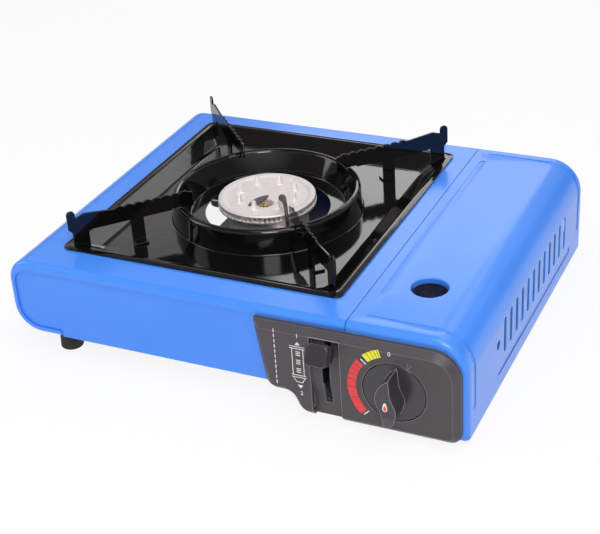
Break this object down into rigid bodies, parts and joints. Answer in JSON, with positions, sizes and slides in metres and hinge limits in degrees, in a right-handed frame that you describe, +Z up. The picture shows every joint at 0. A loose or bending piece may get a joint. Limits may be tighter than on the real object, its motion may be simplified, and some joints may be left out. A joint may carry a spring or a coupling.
{
  "type": "camping gas stove",
  "caption": "Low portable gas stove with a slotted burner in a lift-out drip tray, wavy pan supports, and a side cartridge bay with a hinged lid, control knob and lock lever.",
  "frame": {"origin": "on the table, under the middle of the whole stove", "axes": "+X from the burner half to the cartridge half along the front, +Y from the control panel to the back, +Z up"},
  "size_m": [0.345, 0.301, 0.1048],
  "materials": {
    "blue_paint": "bright blue gloss powder coat on drawn steel sheet",
    "black_enamel": "glossy black vitreous enamel",
    "panel_plastic": "fine-grained dark grey moulding",
    "knob_plastic": "satin black moulding",
    "galvanised_steel": "bright galvanised sheet",
    "bright_steel": "zinc-plated",
    "cast_aluminium": "as-cast and machined aluminium",
    "brass": "plain turned brass",
    "ceramic": "glazed white ceramic",
    "rubber": "dull black rubber"
  },
  "bodies": {
    "stove": {"top_shell": "blue_paint", "front_panel": "blue_paint", "rear_panel": "blue_paint", "control_panel": "panel_plastic", "piezo_igniter": "knob_plastic", "base_plate": "galvanised_steel", "bay_pan": "galvanised_steel", "partition": "galvanised_steel", "cartridge_cradle": "galvanised_steel", "valve_bracket": "galvanised_steel", "burner_bracket": "galvanised_steel", "lever_bracket": "galvanised_steel", "spark_target": "galvanised_steel", "burner_screws": "bright_steel", "panel_screws": "bright_steel", "hinge_pins": "bright_steel", "lever_pin": "bright_steel", "burner_head": "cast_aluminium", "burner_base": "cast_aluminium", "regulator": "cast_aluminium", "mixing_tube": "cast_aluminium", "injector": "brass", "gas_pipe": "brass", "electrode_tip": "brass", "electrode_insulator": "ceramic", "rubber_feet": "rubber", "inlet_seal": "rubber", "ignition_lead": "rubber"},
    "lid": {"cartridge_lid": "blue_paint"},
    "knob": {"control_knob": "knob_plastic", "valve_spindle": "bright_steel"},
    "lever": {"lock_lever": "knob_plastic"},
    "carriage": {"lock_carriage": "galvanised_steel"},
    "tray": {"drip_tray": "black_enamel", "pan_support_front_left": "black_enamel", "pan_support_front_right": "black_enamel", "pan_support_rear_left": "black_enamel", "pan_support_rear_right": "black_enamel"}
  },
  "joints": [
    {"name": "lid_hinge", "type": "hinge", "parent": "stove", "child": "lid", "pos_m": [0.165, 0.012, 0.01], "axis": [0, 1, 0], "range_deg": [0, 90]},
    {"name": "knob_turn", "type": "hinge", "parent": "stove", "child": "knob", "pos_m": [0.1252, -0.1265, 0.0364], "axis": [0, -1, 0], "range_deg": [0, 150]},
    {"name": "lever_hinge", "type": "hinge", "parent": "stove", "child": "lever", "pos_m": [0.0773, -0.0965, 0.036], "axis": [1, 0, 0], "range_deg": [0, 54]},
    {"name": "carriage_slide", "type": "slide", "parent": "stove", "child": "carriage", "axis": [0, -1, 0], "range_m": [0, 0.0064]},
    {"name": "tray_lift", "type": "slide", "parent": "stove", "child": "tray", "axis": [0, 0, 1], "range_m": [0, 0.05]}
  ],
  "couplings": [
    {"joint": "carriage_slide", "follows": "lever_hinge", "m_per_rad": 0.0067438}
  ]
}
